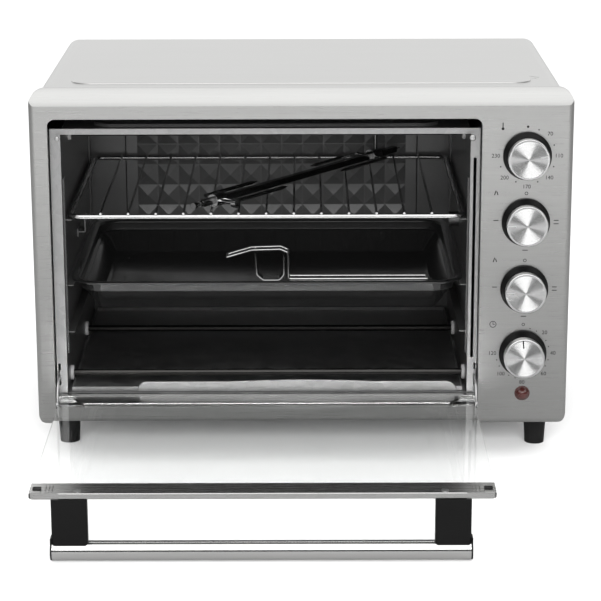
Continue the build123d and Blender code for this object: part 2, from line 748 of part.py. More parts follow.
# ---------------------------------------------------------------- spit drive
socket_length = 11.0
socket_square = spit_side + 1.0
motor_gap = 12.0
motor = (34.0, 52.0, 52.0)
motor_x = cavity_right + sheet + motor_gap

with BuildPart() as spit_drive_socket:
    rod_x(cavity_right - socket_length, cavity_right + 3, spit_y, spit_z, drive_radius)
    rod_x(cavity_right + 3, motor_x + 6, spit_y, spit_z, 3.5)
    box(
        cavity_right - socket_length - 1, cavity_right + 1, spit_y - socket_square / 2,
        spit_y + socket_square / 2, spit_z - socket_square / 2, spit_z + socket_square / 2,
        mode=Mode.SUBTRACT,
    )
spit_drive_socket.part.label = "spit_drive_socket"
export_step(spit_drive_socket.part, "parts/spit_drive_socket.step")

with BuildPart() as rotisserie_motor:
    box(
        motor_x, motor_x + motor[0], spit_y - motor[1] / 2, spit_y + motor[1] / 2,
        spit_z - motor[2] / 2, spit_z + motor[2] / 2,
    )
    fillet(rotisserie_motor.edges().filter_by(Axis.X), 8)
    box(
        motor_x, motor_x + 1.5, spit_y - motor[1] / 2 - 12, spit_y + motor[1] / 2 + 12,
        spit_z - 9, spit_z + 9,
    )
    rod_x(motor_x - 1, motor_x + 8, spit_y, spit_z, 3.5 + fit, mode=Mode.SUBTRACT)
rotisserie_motor.part.label = "rotisserie_motor"
export_step(rotisserie_motor.part, "parts/rotisserie_motor.step")

with BuildPart() as spit_bearing:
    box(cavity_left, cavity_left + 1.2, spit_y - 14, spit_y + 14, spit_z - 16, spit_z - 8)
    box(cavity_left, cavity_left + 9, spit_y - 11, spit_y + 11, spit_z - 12, spit_z - 10.8)
    box(cavity_left + 7.8, cavity_left + 9, spit_y - 11, spit_y + 11, spit_z - 12, spit_z + 6)
    box(cavity_left + 7, cavity_left + 10, spit_y - 3, spit_y + 3, spit_z, spit_z + 7, mode=Mode.SUBTRACT)
    rod_x(cavity_left + 7, cavity_left + 10, spit_y, spit_z, 3, mode=Mode.SUBTRACT)
spit_bearing.part.label = "spit_bearing"
export_step(spit_bearing.part, "parts/spit_bearing.step")

# ---------------------------------------------------------------- tray lifting tool
# It lies in the baking tray: a long wire grip, and a head with a bent strap.
tool_wire = 3.6
tool_floor = rim_z - tray_depth + sheet + support_gap
tool_low = tool_floor + tool_wire / 2
tool_high = tool_low + 34.0
tool_right = cavity_mid + 177.0
tool_neck = cavity_mid + 22.0
tool_y = front_y + 164.0
tool_spread = 7.0
strap = (16.0, 1.2)


def bent_wire(points, radius, wire):
    """A round wire bent along these points."""
    with BuildLine() as route:
        FilletPolyline(*points, radius=radius)
    first = route.line @ 0
    with BuildSketch(Plane(origin=first, z_dir=route.line % 0)) as section:
        Circle(wire / 2)
    sweep(section.sketch, path=route.line)


with BuildPart() as tray_tool:
    for y in (tool_y - tool_spread, tool_y + tool_spread):
        bent_wire(
            [
                (tool_right, y, tool_low), (tool_neck, y, tool_low), (tool_neck, y, tool_high - 4),
                (tool_neck - 9, y, tool_high), (tool_neck - 41, y, tool_high - 1),
                (tool_neck - 68, y, tool_high - 9),
            ],
            3, tool_wire,
        )
    for x, z in ((tool_right, tool_low), (tool_neck - 68, tool_high - 9)):
        rod_y(x, tool_y - tool_spread, tool_y + tool_spread, z, tool_wire / 2)
        for y in (tool_y - tool_spread, tool_y + tool_spread):
            with Locations((x, y, z)):
                Sphere(tool_wire / 2)
    left_leg = tool_neck - 37
    right_leg = tool_neck - 5
    bottom = tool_floor + strap[1] / 2
    with BuildLine(Plane.XZ.offset(-tool_y)) as curve:
        FilletPolyline(
            (left_leg, tool_high - 1), (left_leg + 2, bottom + 6), (left_leg + 9, bottom),
            (right_leg - 5, bottom), (right_leg, bottom + 6), (right_leg, tool_high - 1), radius=4,
        )
    with BuildSketch(Plane(origin=curve.line @ 0, x_dir=(0, 1, 0), z_dir=curve.line % 0)) as band:
        Rectangle(strap[0], strap[1])
    sweep(band.sketch, path=curve.line)
tray_tool.part.label = "tray_tool"
export_step(tray_tool.part, "parts/tray_tool.step")

# ---------------------------------------------------------------- door, lying open
# The door's inner face is up. Every depth here is measured from the hinge axis.
inner_z = hinge_z + glass / 2
outer_z = hinge_z - glass / 2
cap_width = 28.0
end_rail_depth = 28.0
rail_wall = 1.0
knuckle = 6.6
hinge_rail_reach = 21.0 + hinge_depth

tube_y = door_end + handle_setback
screw_spots = [
    (handle_left + bracket_width - 9, tube_y + 2), (handle_right - bracket_width + 9, tube_y + 2)
]

with BuildPart() as door_glass:
    box(door_left, door_right, door_end + 1.5, front_y + 0.5, outer_z, inner_z)
    for x, y in screw_spots:
        rod_z(x, y, outer_z - 1, inner_z + 1, screw_shank / 2 + 0.8, mode=Mode.SUBTRACT)
door_glass.part.label = "door_glass"
export_step(door_glass.part, "parts/door_glass.step")

with BuildPart() as door_end_rail:
    low, high = outer_z - rail_wall, inner_z + rail_wall
    box(door_left + cap_width, door_right - cap_width, door_end, door_end + end_rail_depth, low, high)
    fillet(door_end_rail.edges().filter_by(Axis.X).group_by(Axis.Y)[0], 0.9)
    box(
        door_left, door_right, door_end + 1.5, door_end + end_rail_depth + 1, outer_z, inner_z,
        mode=Mode.SUBTRACT,
    )
    for x, y in screw_spots:
        rod_z(x, y, low - 1, high + 1, screw_shank / 2, mode=Mode.SUBTRACT)
door_end_rail.part.label = "door_end_rail"
export_step(door_end_rail.part, "parts/door_end_rail.step")

bumper = (9.0, 11.0, 0.7)
bumper_inset = 2.0
with BuildPart() as door_end_caps:
    box(door_left, door_left + cap_width, door_end, door_end + end_rail_depth, low, high)
    box(door_right - cap_width, door_right, door_end, door_end + end_rail_depth, low, high)
    free_edges = door_end_caps.edges().filter_by(Axis.Z).group_by(Axis.Y)[0].sort_by(Axis.X)
    fillet([free_edges[0], free_edges[-1]], 5)
    for x in (door_left + bumper_inset, door_right - bumper_inset - bumper[0]):
        box(
            x, x + bumper[0], door_end + bumper_inset, door_end + bumper_inset + bumper[1],
            high, high + bumper[2],
        )
    box(
        door_left - 1, door_right + 1, door_end + 1.5, door_end + end_rail_depth + 1, outer_z, inner_z,
        mode=Mode.SUBTRACT,
    )
door_end_caps.part.label = "door_end_caps"
export_step(door_end_caps.part, "parts/door_end_caps.step")

taper = 17.0
with BuildPart() as door_hinge_rail:
    with BuildSketch(Plane.XY.offset(outer_z - rail_wall)):
        with BuildLine():
            Polyline(
                (door_left + 10, hinge_y + 3), (door_right - 10, hinge_y + 3),
                (door_right - 10 - taper, hinge_y - hinge_rail_reach),
                (door_left + 10 + taper, hinge_y - hinge_rail_reach), close=True,
            )
        make_face()
    extrude(amount=glass + 2 * rail_wall)
    box(door_left, door_right, hinge_y - 3.3, hinge_y + 3.3, hinge_z - knuckle / 2, hinge_z + knuckle / 2)
    box(
        door_left - 1, door_right + 1, hinge_y - hinge_rail_reach - 1, front_y + 0.5, outer_z, inner_z,
        mode=Mode.SUBTRACT,
    )
    rod_x(door_left - 1, door_left + 22, hinge_y, hinge_z, pin / 2, mode=Mode.SUBTRACT)
    rod_x(door_right - 22, door_right + 1, hinge_y, hinge_z, pin / 2, mode=Mode.SUBTRACT)
door_hinge_rail.part.label = "door_hinge_rail"
export_step(door_hinge_rail.part, "parts/door_hinge_rail.step")

with BuildPart() as hinge_pins:
    rod_x(seat_left - 0.5, door_left + 20, hinge_y, hinge_z, pin / 2)
    rod_x(door_right - 20, seat_right + 0.5, hinge_y, hinge_z, pin / 2)
hinge_pins.part.label = "hinge_pins"
export_step(hinge_pins.part, "parts/hinge_pins.step")


def stay(x_low):
    """A curved flat arm about the hinge axis, with a hooked end behind the door seat."""
    with BuildSketch(Plane(origin=(x_low, hinge_y, hinge_z), x_dir=(0, 1, 0), z_dir=(1, 0, 0))) as arm:
        inner = stay_radius - stay_width / 2
        outer = stay_radius + stay_width / 2
        with BuildLine() as edge:
            bow = CenterArc((0, 0), outer, 180, -118)
            bend = CenterArc((0, 0), inner, 180, -118)
            Line(bow @ 0, bend @ 0)
            Line(bow @ 1, bend @ 1)
        make_face(edge.edges())
        with BuildLine() as hook:
            tip_in = CenterArc((0, 0), inner, 65, -13)
            tip_out = CenterArc((0, 0), outer + 5, 65, -13)
            Line(tip_in @ 0, tip_out @ 0)
            Line(tip_in @ 1, tip_out @ 1)
        make_face(hook.edges())
        with Locations((-stay_radius, 0)):
            Circle(stay_width / 2 + 0.6)
    extrude(arm.sketch, amount=stay_sheet)


for side_name, x, rivet_x in (
    ("left", stay_left_x, (stay_left_x - 0.8, door_left + 12)),
    ("right", stay_right_x, (door_right - 12, stay_right_x + stay_sheet + 0.8)),
):
    with BuildPart() as door_stay:
        stay(x)
        head = sorted((x - 0.8, x + stay_sheet)) if side_name == "left" else (x, x + stay_sheet + 0.8)
        rod_x(*head, hinge_y - stay_radius, hinge_z, 2.6)
        gap = (x + stay_sheet, door_left) if side_name == "left" else (door_right, x)
        rod_x(*gap, hinge_y - stay_radius, hinge_z, 1.8)
    door_stay.part.label = f"door_stay_{side_name}"
    export_step(door_stay.part, f"parts/door_stay_{side_name}.step")

# ---------------------------------------------------------------- handle
tube_z = hinge_z - handle_drop
tube_radius = handle_tube / 2
plug = 1.6

with BuildPart() as handle_tube_part:
    rod_x(handle_left, handle_right, tube_y, tube_z, tube_radius)
    rod_x(handle_left, handle_right, tube_y, tube_z, tube_radius - 1.0, mode=Mode.SUBTRACT)
handle_tube_part.part.label = "handle_tube"
export_step(handle_tube_part.part, "parts/handle_tube.step")

bracket_depth = 13.0
bracket_top = outer_z - rail_wall

with BuildPart() as handle_brackets:
    for x in (handle_left, handle_right - bracket_width):
        box(x, x + bracket_width, tube_y - bracket_depth / 2, tube_y + bracket_depth / 2, tube_z, bracket_top)
    fillet(handle_brackets.edges().filter_by(Axis.Z), 3)
    rod_x(handle_left - 1, handle_right + 1, tube_y, tube_z, tube_radius, mode=Mode.SUBTRACT)
    box(
        handle_left - 1, handle_right + 1, tube_y - 20, tube_y + 20, tube_z - 1, tube_z + 4,
        mode=Mode.SUBTRACT,
    )
    for low_x, high_x in ((handle_left - plug, handle_left), (handle_right, handle_right + plug)):
        rod_x(low_x, high_x, tube_y, tube_z, tube_radius)
        box(low_x, high_x, tube_y - 6, tube_y + 6, tube_z, tube_z + tube_radius + 4)
    for x, y in screw_spots:
        rod_z(x, y, bracket_top - 14, bracket_top, screw_shank / 2, mode=Mode.SUBTRACT)
handle_brackets.part.label = "handle_brackets"
export_step(handle_brackets.part, "parts/handle_brackets.step")

handle_screw_top = inner_z + rail_wall
with BuildPart() as handle_screws:
    for x, y in screw_spots:
        rod_z(x, y, bracket_top - 14, handle_screw_top, screw_shank / 2)
        with Locations((x, y, handle_screw_top)):
            Cylinder(3.6, 0.7, align=(Align.CENTER, Align.CENTER, Align.MIN))
handle_screws.part.label = "handle_screws"
export_step(handle_screws.part, "parts/handle_screws.step")

# ---------------------------------------------------------------- knobs and controls
knob_names = ("thermostat", "function_a", "function_b", "timer")
knob_turns = (90, -90, -90, 0)   # which way each pointer looks, clockwise from the top
knob_clear = 1.0
cap_back = front_y - knob_clear - knob_skirt_height
cap_front = front_y - knob_clear - knob_height
plate_y = front_y + 22.0
plate_sheet = 1.2
shaft_back = plate_y + plate_sheet + 8
pointer = (9.0, 1.4, 0.5)


def turned(x, z, profile):
    """A round piece about the knob's axis, from pairs of radius and y."""
    with BuildSketch(Plane(origin=(x, 0, z), x_dir=(1, 0, 0), z_dir=(0, 0, 1))) as half:
        with BuildLine() as line:
            Polyline(*profile, close=True)
        make_face(line.edges())
    revolve(half.sketch, axis=Axis((x, 0, z), (0, 1, 0)))


for name, h, turn in zip(knob_names, knob_heights, knob_turns):
    z = z0 + h
    rim_r = knob_skirt / 2
    cap_r = knob_cap / 2
    with BuildPart() as knob_skirt_part:
        turned(
            knob_x, z,
            [
                (shaft / 2, cap_back), (shaft / 2, front_y - knob_clear - 2), (rim_r - 4, front_y - knob_clear - 2),
                (rim_r - 2, front_y - knob_clear), (rim_r, front_y - knob_clear),
                (rim_r, front_y - knob_clear - 2), (cap_r + 0.6, cap_back),
            ],
        )
    knob_skirt_part.part.label = f"{name}_knob_skirt"
    export_step(knob_skirt_part.part, f"parts/{name}_knob_skirt.step")
    with BuildPart() as knob_cap_part:
        turned(
            knob_x, z,
            [
                (shaft / 2, cap_back), (cap_r, cap_back), (cap_r, cap_front + 1.2), (cap_r - 1.2, cap_front),
                (0, cap_front), (0, cap_front + 3), (shaft / 2, cap_front + 3),
            ],
        )
        ahead = (sin(radians(turn)), cos(radians(turn)))
        mid = cap_r - pointer[0] / 2 - 1
        with Locations((knob_x + ahead[0] * mid, cap_front, z + ahead[1] * mid)):
            Box(
                pointer[1], 2 * pointer[2], pointer[0], rotation=(0, turn, 0), mode=Mode.SUBTRACT
            )
    knob_cap_part.part.label = f"{name}_knob_cap"
    export_step(knob_cap_part.part, f"parts/{name}_knob_cap.step")
    with BuildPart() as shaft_part:
        rod_y(knob_x, cap_front + 3, shaft_back, z, shaft / 2)
    shaft_part.part.label = f"{name}_shaft"
    export_step(shaft_part.part, f"parts/{name}_shaft.step")

# The control plate stands behind the front and carries the four controls.
plate_left = opening_right + 8
plate_right = cabinet_half - sheet - 1
plate_low = z0 + 44
plate_high = z0 + front_height - 26
control_sizes = ((36.0, 30.0, 34.0), (32.0, 26.0, 32.0), (32.0, 26.0, 32.0), (48.0, 38.0, 48.0))

with BuildPart() as control_plate:
    box(plate_left, plate_right, plate_y, plate_y + plate_sheet, plate_low, plate_high)
    box(plate_left, plate_left + plate_sheet, plate_y, plate_y + 12, plate_low, plate_high)
    for h in knob_heights:
        rod_y(knob_x, plate_y - 1, plate_y + plate_sheet + 1, z0 + h, shaft / 2 + 1.5, mode=Mode.SUBTRACT)
control_plate.part.label = "control_plate"
export_step(control_plate.part, "parts/control_plate.step")


def control(h, size):
    """A control's body behind the plate, bored for its shaft."""
    z = z0 + h
    near = plate_y + plate_sheet
    box(knob_x - size[0] / 2, knob_x + size[0] / 2, near, near + size[1], z - size[2] / 2, z + size[2] / 2)
    for side in (-1, 1):
        low_z, high_z = z + side * size[2] / 4 - 1, z + side * size[2] / 4 + 1
        box(knob_x - 3, knob_x + 3, near + size[1], near + size[1] + 7, low_z, high_z)
    rod_y(knob_x, near - 1, shaft_back + 0.3, z, shaft / 2 + fit, mode=Mode.SUBTRACT)


with BuildPart() as thermostat:
    control(knob_heights[0], control_sizes[0])
thermostat.part.label = "thermostat"
export_step(thermostat.part, "parts/thermostat.step")

with BuildPart() as function_switches:
    control(knob_heights[1], control_sizes[1])
    control(knob_heights[2], control_sizes[2])
function_switches.part.label = "function_switches"
export_step(function_switches.part, "parts/function_switches.step")

with BuildPart() as timer:
    control(knob_heights[3], control_sizes[3])
timer.part.label = "timer"
export_step(timer.part, "parts/timer.step")

with BuildPart() as power_lamp:
    rod_y(lamp_x, front_y - 1.4, front_y, z0 + lamp_height, lamp / 2)
    fillet(power_lamp.edges().group_by(Axis.Y)[0], 0.9)
    rod_y(lamp_x, front_y, front_y + 16, z0 + lamp_height, lamp / 2 - 1.5)
power_lamp.part.label = "power_lamp"
export_step(power_lamp.part, "parts/power_lamp.step")

# ---------------------------------------------------------------- inside the control side
shield_x = opening_right + 1.0
with BuildPart() as heat_shield:
    box(
        shield_x, shield_x + sheet, front_y + 24, wrap_back - 3, base_z + sheet, cabinet_top - sheet - 3,
    )
    rod_x(shield_x - 1, shield_x + 2, spit_y, spit_z, 6, mode=Mode.SUBTRACT)
heat_shield.part.label = "heat_shield"
export_step(heat_shield.part, "parts/heat_shield.step")

with BuildPart() as terminal_block:
    block_x, block_y = knob_x - 22, wrap_back - 62
    box(block_x, block_x + 40, block_y, block_y + 18, base_z + sheet, base_z + sheet + 15)
    for i in range(3):
        rod_z(block_x + 8 + 12 * i, block_y + 9, base_z + 9, base_z + 20, 3, mode=Mode.SUBTRACT)
terminal_block.part.label = "terminal_block"
export_step(terminal_block.part, "parts/terminal_block.step")

cord = 7.5
with BuildPart() as cord_gland:
    rod_y(inlet_x, wrap_back - 8, wrap_back + sheet + 6, inlet_z, inlet_radius)
    rod_y(inlet_x, wrap_back + sheet, wrap_back + sheet + 3, inlet_z, inlet_radius + 3)
    rod_y(inlet_x, wrap_back - 3, wrap_back, inlet_z, inlet_radius + 1.5)
    rod_y(inlet_x, wrap_back - 9, wrap_back + sheet + 7, inlet_z, cord / 2, mode=Mode.SUBTRACT)
cord_gland.part.label = "cord_gland"
export_step(cord_gland.part, "parts/cord_gland.step")

# Insulated wires run from the terminal block up the back of the bay to the controls.
wire = 2.8
wire_start = base_z + 9.2
wire_y = block_y + 9
wire_ends = ((1, knob_heights[0], control_sizes[0]), (0, knob_heights[1], control_sizes[1]),
             (2, knob_heights[3], control_sizes[3]))
with BuildPart() as wiring_loom:
    for terminal, h, size in wire_ends:
        x = block_x + 8 + 12 * terminal
        z = z0 + h + size[2] / 4
        tab_y = plate_y + plate_sheet + size[1] + 7
        bent_wire(
            [(x, wire_y, wire_start), (x, wire_y, z), (knob_x, tab_y + 30, z), (knob_x, tab_y, z)], 14, wire
        )
wiring_loom.part.label = "wiring_loom"
export_step(wiring_loom.part, "parts/wiring_loom.step")
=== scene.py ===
import json
from math import cos, pi, radians, sin

import bmesh
import bpy
from mathutils import Euler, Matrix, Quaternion, Vector


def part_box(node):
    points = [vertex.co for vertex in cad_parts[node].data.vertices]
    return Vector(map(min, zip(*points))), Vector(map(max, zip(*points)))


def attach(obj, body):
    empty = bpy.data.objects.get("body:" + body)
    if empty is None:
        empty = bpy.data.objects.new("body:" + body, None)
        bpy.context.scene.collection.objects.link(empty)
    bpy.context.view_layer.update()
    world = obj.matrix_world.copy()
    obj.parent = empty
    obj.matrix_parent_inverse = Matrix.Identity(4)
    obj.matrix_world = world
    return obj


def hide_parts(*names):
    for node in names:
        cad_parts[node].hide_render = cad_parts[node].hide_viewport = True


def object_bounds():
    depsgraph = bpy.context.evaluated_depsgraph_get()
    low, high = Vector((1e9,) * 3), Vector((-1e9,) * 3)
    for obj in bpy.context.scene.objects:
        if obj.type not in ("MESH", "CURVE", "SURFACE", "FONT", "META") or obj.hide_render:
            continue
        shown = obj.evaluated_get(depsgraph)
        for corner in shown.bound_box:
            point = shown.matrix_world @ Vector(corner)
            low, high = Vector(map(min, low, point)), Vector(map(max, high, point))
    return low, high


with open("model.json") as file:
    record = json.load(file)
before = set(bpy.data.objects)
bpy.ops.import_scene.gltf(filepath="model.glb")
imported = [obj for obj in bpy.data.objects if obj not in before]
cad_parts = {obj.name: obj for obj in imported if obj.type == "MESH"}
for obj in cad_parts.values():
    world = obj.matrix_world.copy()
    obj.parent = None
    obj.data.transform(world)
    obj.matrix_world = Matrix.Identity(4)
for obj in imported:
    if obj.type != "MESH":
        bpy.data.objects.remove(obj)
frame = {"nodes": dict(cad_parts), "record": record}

nodes = frame["nodes"]
cad_low, cad_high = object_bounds()
mm = 0.001


# ---------------------------------------------------------------- camera, floor and light

camera_place = (0.0010, -2.2925, 0.8018)
camera_pitch, camera_yaw, camera_roll = 0.27047, -0.00102, -0.00273
camera_lens = 134.27

eye = bpy.data.cameras.new("camera")
eye.lens = camera_lens
eye.clip_end = 50
camera = bpy.data.objects.new("camera", eye)
camera.location = camera_place
aim = Euler((pi / 2 - camera_pitch, 0, -camera_yaw)).to_quaternion()
camera.rotation_euler = (aim @ Quaternion((0, 0, 1), camera_roll)).to_euler()
bpy.context.scene.collection.objects.link(camera)
bpy.context.scene.camera = camera
bpy.context.scene.view_settings.view_transform = "Standard"


def softbox(name, place, towards, width, depth, power, mirrored=True):
    """A large square lamp, aimed at a point. Shiny parts mirror it, or don't."""
    lamp = bpy.data.lights.new(name, "AREA")
    lamp.shape, lamp.size, lamp.size_y, lamp.energy = "RECTANGLE", width, depth, power
    holder = bpy.data.objects.new(name, lamp)
    holder.location = place
    holder.visible_glossy = mirrored
    holder.rotation_euler = (Vector(towards) - Vector(place)).to_track_quat("-Z", "Y").to_euler()
    bpy.context.scene.collection.objects.link(holder)


# ---------------------------------------------------------------- finishes

def socket_name(word):
    return " ".join(part if part.isupper() else part.title() for part in word.split("_"))


class Signal:
    """One output of a node. Sums, differences and products of signals add Math nodes."""

    def __init__(self, maker, socket):
        self.maker, self.socket = maker, socket

    def math(self, operation, first, second=None):
        terms = {0: first} if second is None else {0: first, 1: second}
        return self.maker.node("ShaderNodeMath", {"operation": operation}, terms)

    def __add__(self, other):
        return self.math("ADD", self, other)

    __radd__ = __add__

    def __mul__(self, other):
        return self.math("MULTIPLY", self, other)

    __rmul__ = __mul__

    def __sub__(self, other):
        return self.math("SUBTRACT", self, other)

    def __rsub__(self, other):
        return self.math("SUBTRACT", other, self)

    def clamp(self):
        return self.math("MINIMUM", self.math("MAXIMUM", self, 0.0), 1.0)

    def fade(self, low, high):
        """This signal from low to high, eased and spread from 0 to 1."""
        limits = {"Value": self, "From Min": low, "From Max": high}
        return self.maker.node("ShaderNodeMapRange", {"interpolation_type": "SMOOTHSTEP"}, limits)


class Finish:
    """A material: one Principled shader with plain numbers, fed by nodes that are added one by one."""

    def __init__(self, name, **plain):
        self.material = bpy.data.materials.new(name)
        self.material.use_nodes = True
        self.tree = self.material.node_tree
        self.shader = self.tree.nodes["Principled BSDF"]
        for socket, value in plain.items():
            place = self.shader.inputs[socket_name(socket)]
            place.default_value = (*value, 1.0) if isinstance(value, tuple) else value

    def node(self, kind, settings=None, terms=None, out=0):
        """Adds a node of that kind: its settings first, then its sockets' numbers or links."""
        made = self.tree.nodes.new(kind)
        for name, value in (settings or {}).items():
            setattr(made, name, value)
        for name, value in (terms or {}).items():
            if isinstance(value, Signal):
                self.tree.links.new(value.socket, made.inputs[name])
            else:
                made.inputs[name].default_value = value
        return Signal(self, made.outputs[out])

    def feed(self, **sources):
        """Links signals to the shader's own sockets."""
        for socket, source in sources.items():
            self.tree.links.new(source.socket, self.shader.inputs[socket_name(socket)])

    def show(self, output):
        """Makes this shader signal what the material shows."""
        self.tree.links.new(output.socket, self.tree.nodes["Material Output"].inputs["Surface"])

    def here(self, grain):
        """Object coordinates in units of grain metres along x, y and z."""
        point = self.node("ShaderNodeTexCoord", out=3)
        return self.node("ShaderNodeMapping", {"vector_type": "TEXTURE"}, {"Vector": point, "Scale": grain})

    def noise(self, grain, detail=2.0, rough=0.5):
        """Soft noise from 0 to 1 whose grain has that size along x, y and z, in metres."""
        size = grain if isinstance(grain, tuple) else (grain,) * 3
        terms = {"Vector": self.here(size), "Scale": 1.0, "Detail": detail, "Roughness": rough}
        return self.node("ShaderNodeTexNoise", None, terms)

    def flakes(self, grain):
        """Cells of that size in metres, each with its own random colour."""
        terms = {"Vector": self.here((grain,) * 3), "Scale": 1.0}
        return self.node("ShaderNodeTexVoronoi", None, terms, out=1)

    def tint(self, level, colour=(1.0, 1.0, 1.0)):
        """A level turned into a shade of that colour."""
        terms = {0: level, 6: (0.0, 0.0, 0.0, 1.0), 7: (*colour, 1.0)}
        return self.node("ShaderNodeMix", {"data_type": "RGBA"}, terms, out=2)

    def bump(self, height, depth):
        """Relief of that depth in metres, as a normal."""
        return self.node("ShaderNodeBump", None, {"Height": height, "Distance": depth, "Strength": 1.0})


def brushed(name, level, rough, across, deep=6e-6):
    """Sheet steel brushed along x. across is how much wider its gloss spreads across the marks."""
    fine = (0.05, 0.0004, 0.0004)
    broad = (0.22, 0.003, 0.003)
    made = Finish(name, metallic=1.0, anisotropic=across)
    lines = made.noise(fine, 3.0, 0.6)
    bands = made.noise(broad, 3.0, 0.5)
    cloud = made.noise(0.16, 2.0)
    shade = level * (0.88 + 0.14 * lines + 0.08 * bands + 0.04 * cloud)
    made.feed(base_color=made.tint(shade, (1.0, 1.0, 0.985)),
              roughness=rough + 0.10 * lines,
              normal=made.bump(0.7 * lines + 0.3 * bands, deep))
    return made


def zinc_coated(name, level, rough):
    """Galvanised sheet with its patchwork of zinc flakes."""
    made = Finish(name, metallic=1.0)
    shine = made.node("ShaderNodeSeparateColor", None, {0: made.flakes(0.009)})
    dust = made.noise(0.03, 4.0)
    made.feed(base_color=made.tint(level * (0.84 + 0.2 * shine + 0.1 * dust)),
              roughness=rough + 0.16 * shine + 0.08 * dust,
              normal=made.bump(made.noise(0.002, 2.0), 4e-6))
    return made


def dark_steel(name, level, rough):
    """The chamber's grey non-stick coating on steel."""
    made = Finish(name, metallic=0.75)
    speck = made.noise(0.0012, 2.0, 0.6)
    cloud = made.noise(0.08, 3.0)
    made.feed(base_color=made.tint(level * (0.75 + 0.3 * speck + 0.25 * cloud)),
              roughness=rough + 0.08 * speck + 0.06 * cloud,
              normal=made.bump(speck, 8e-6))
    return made


def enamel(name, level, rough):
    """Dark vitreous enamel with a faint orange-peel surface and a few specks."""
    made = Finish(name, metallic=0.0, coat_weight=0.7, coat_roughness=0.08)
    speck = made.noise(0.0008, 1.0)
    orange = made.noise(0.0035, 2.0)
    made.feed(base_color=made.tint(level * (0.7 + 0.3 * orange) + 0.05 * speck.fade(0.72, 0.78)),
              roughness=rough + 0.08 * orange,
              normal=made.bump(orange, 2.5e-5))
    return made


def plated(name, level, rough, tone=(1.0, 1.0, 1.0), wear=0.1):
    """Bright plating on wire or bar, with faint drawing marks and clouding."""
    made = Finish(name, metallic=1.0)
    cloud = made.noise(0.02, 3.0)
    marks = made.noise(0.0015, 3.0)
    made.feed(base_color=made.tint(level * (1.0 - wear + wear * 1.4 * cloud), tone),
              roughness=rough + 0.10 * cloud + 0.05 * marks,
              normal=made.bump(marks, 6e-6))
    return made


def moulded(name, level, rough, grain=0.0007, depth=1.5e-5):
    """Moulded plastic, ceramic or phenolic with a fine leather grain."""
    made = Finish(name, metallic=0.0, specular_IOR_level=0.12)
    leather = made.noise(grain, 2.0, 0.6)
    cloud = made.noise(0.03, 2.0)
    made.feed(base_color=made.tint(level * (0.85 + 0.3 * cloud)),
              roughness=rough + 0.10 * leather,
              normal=made.bump(leather, depth))
    return made


def clear_glass(name):
    """Clear plate glass that lets lamps through."""
    made = Finish(name, transmission_weight=1.0, roughness=0.0, IOR=1.25, base_color=(0.990, 0.994, 0.992))
    smear = made.noise(0.05, 4.0, 0.6)
    made.feed(roughness=0.004 + 0.02 * smear.fade(0.5, 0.8))
    ray = made.tree.nodes.new("ShaderNodeLightPath")
    light = Signal(made, ray.outputs["Is Shadow Ray"])
    bounce = Signal(made, ray.outputs["Is Diffuse Ray"])
    open_way = made.node("ShaderNodeBsdfTransparent", None, {"Color": (0.98, 0.985, 0.983, 1.0)})
    glass = Signal(made, made.shader.outputs[0])
    both = made.node("ShaderNodeMixShader", None, {0: (light + bounce).clamp(), 1: glass, 2: open_way})
    made.show(both)
    return made


finishes = {
    "brushed_front": brushed("brushed_front", 0.375, 0.24, 0.6),
    "brushed_cabinet": brushed("brushed_cabinet", 0.44, 0.30, 0.0),
    "galvanised": zinc_coated("galvanised", 0.42, 0.30),
    "black_enamel": enamel("black_enamel", 0.006, 0.14),
    "chamber_steel": dark_steel("chamber_steel", 0.092, 0.24),
    "chrome": plated("chrome", 0.66, 0.06),
    "spit_steel": plated("spit_steel", 0.20, 0.16),
    "heater_sheath": plated("heater_sheath", 0.07, 0.34, (1.0, 0.98, 0.95), 0.3),
    "ceramic": moulded("ceramic", 0.22, 0.45, 0.001),
    "door_glass": clear_glass("door_glass"),
    "door_metal": brushed("door_metal", 0.44, 0.22, 0.0),
    "handle_steel": brushed("handle_steel", 0.58, 0.09, 0.0, 1e-6),
    "black_plastic": moulded("black_plastic", 0.0025, 0.36),
    "foot_plastic": moulded("foot_plastic", 0.006, 0.45),
    "knob_aluminium": plated("knob_aluminium", 0.58, 0.14),
    "lamp_lens": Finish("lamp_lens", base_color=(0.030, 0.008, 0.007), roughness=0.16, coat_weight=0.5),
    "zinc_screw": plated("zinc_screw", 0.56, 0.22),
    "phenolic": moulded("phenolic", 0.05, 0.5),
    "wire_jacket": moulded("wire_jacket", 0.35, 0.55),
}
for part in frame["record"]["subparts"]:
    nodes[part["node"]].data.materials[0] = finishes[part["material_slot"]].material


# ---------------------------------------------------------------- making pieces

oven_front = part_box("control_plate")[0].y - 22.0 * mm
ink = moulded("printed_ink", 0.010, 0.50).material


def chosen(piece, test, kind="FACE"):
    """Opens the piece for editing with only the faces, edges or points selected that pass the test."""
    bpy.context.view_layer.objects.active = piece
    if piece.mode != "EDIT":
        bpy.ops.object.mode_set(mode="EDIT")
    bpy.ops.mesh.select_mode(type=kind)
    bpy.ops.mesh.select_all(action="DESELECT")
    shape = bmesh.from_edit_mesh(piece.data)
    for item in {"FACE": shape.faces, "EDGE": shape.edges, "VERT": shape.verts}[kind]:
        if test(item):
            item.select_set(True)
    bmesh.update_edit_mesh(piece.data)


